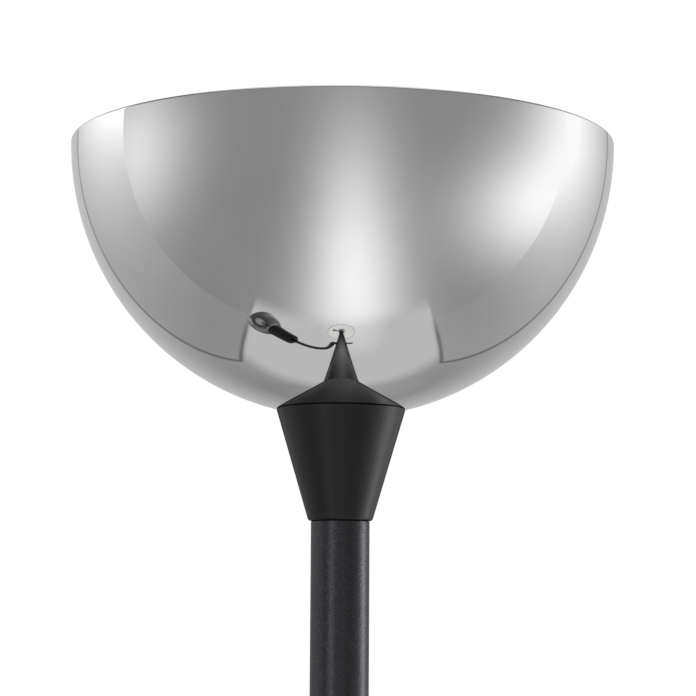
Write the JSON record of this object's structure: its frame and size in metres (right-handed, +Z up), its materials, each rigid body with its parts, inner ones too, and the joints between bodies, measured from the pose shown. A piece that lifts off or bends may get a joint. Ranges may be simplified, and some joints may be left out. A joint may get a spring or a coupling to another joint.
{
  "type": "torchiere floor lamp",
  "caption": "Uplighter floor lamp: a mirror hemispherical bowl on a tall slim post with a heavy round base, and a side gooseneck reading lamp.",
  "frame": {"origin": "on the floor, at the middle of the base's underside, on the post's axis", "axes": "+Z up along the post, the reading lamp stands out towards -X, the cord leaves towards +Y"},
  "size_m": [0.4385, 0.3, 1.78],
  "materials": {
    "chrome": "mirror-polished chrome plate on spun steel",
    "dark_nickel": "mirror-polished black-nickel plate on spun steel",
    "powder_coat": "charcoal fine-textured powder coat with a faint metallic sparkle",
    "black_paint": "satin black lacquer",
    "gooseneck_sheath": "satin black wound-steel sheath",
    "black_plastic": "satin black moulded thermoset",
    "zinc_steel": "bright zinc plate",
    "cast_iron": "raw grey casting",
    "foam": "black closed-cell foam",
    "rubber": "matt black moulded rubber",
    "brass": "rolled brass thread",
    "ceramic": "white glazed porcelain",
    "nickel_cap": "rolled nickel-plated screw cap",
    "bulb_plastic": "white moulded plastic",
    "opal_plastic": "opal diffuser, satin",
    "lead_pvc": "black flexible cable sheath"
  },
  "bodies": {
    "stand": {"bowl": "chrome", "base_cover": "chrome", "post_tube_lower": "powder_coat", "post_tube_middle": "powder_coat", "post_tube_upper": "powder_coat", "neck_cone": "black_paint", "post_collar": "black_paint", "arm_saddle": "black_paint", "dimmer_nut": "black_paint", "lampholder_cap": "black_plastic", "lampholder_skirt": "black_plastic", "base_washer": "zinc_steel", "base_nut": "zinc_steel", "base_stud": "zinc_steel", "lower_foot_plug": "zinc_steel", "lower_head_plug": "zinc_steel", "middle_foot_plug": "zinc_steel", "middle_head_plug": "zinc_steel", "upper_foot_plug": "zinc_steel", "upper_head_plug": "zinc_steel", "middle_joint_stud": "zinc_steel", "upper_joint_stud": "zinc_steel", "bowl_seat_washer": "zinc_steel", "bowl_seat_nut": "zinc_steel", "bowl_clamp_washer": "zinc_steel", "bowl_clamp_nut": "zinc_steel", "neck_stud": "zinc_steel", "dimmer_bush": "zinc_steel", "arm_lock_nut": "zinc_steel", "base_weight": "cast_iron", "base_pad": "foam", "cord_gland": "rubber", "lampholder_screw_shell": "brass", "lampholder_core": "ceramic", "dimmer_body": "ceramic", "bulb_cap": "nickel_cap", "bulb_collar": "bulb_plastic", "bulb_globe": "opal_plastic", "internal_lead": "lead_pvc"},
    "arm": {"arm_elbow": "black_paint", "arm_ferrule": "black_paint", "gooseneck_root": "gooseneck_sheath", "gooseneck_flex_lower": "gooseneck_sheath"},
    "neck_middle": {"gooseneck_middle": "gooseneck_sheath", "gooseneck_flex_upper": "gooseneck_sheath"},
    "head": {"gooseneck_tip": "gooseneck_sheath", "head_ferrule": "black_paint", "head_cup": "black_paint", "head_shade": "dark_nickel", "head_lampholder": "ceramic", "shade_ring": "black_paint", "head_bulb_cap": "nickel_cap", "head_bulb_globe": "opal_plastic"},
    "dimmer": {"dimmer_knob": "black_plastic", "dimmer_shaft": "zinc_steel"}
  },
  "joints": [
    {"name": "arm_turn", "type": "hinge", "parent": "stand", "child": "arm", "pos_m": [-0.027, 0, 1.143], "axis": [1, 0, 0], "range_deg": [-100, 100]},
    {"name": "neck_lower_bend", "type": "hinge", "parent": "arm", "child": "neck_middle", "pos_m": [-0.03819, 0.0143, 1.21155], "axis": [0.2993, -0.9257, 0.2314], "range_deg": [-35, 25], "deforming": ["gooseneck_flex_lower"]},
    {"name": "neck_upper_bend", "type": "hinge", "parent": "neck_middle", "child": "head", "pos_m": [-0.07824, 0.01301, 1.24576], "axis": [0.1535, -0.9815, 0.1145], "range_deg": [-40, 40], "deforming": ["gooseneck_flex_upper"]},
    {"name": "dimmer_turn", "type": "hinge", "parent": "stand", "child": "dimmer", "pos_m": [0.02, 0, 1.143], "axis": [1, 0, 0], "range_deg": [0, 270]}
  ]
}
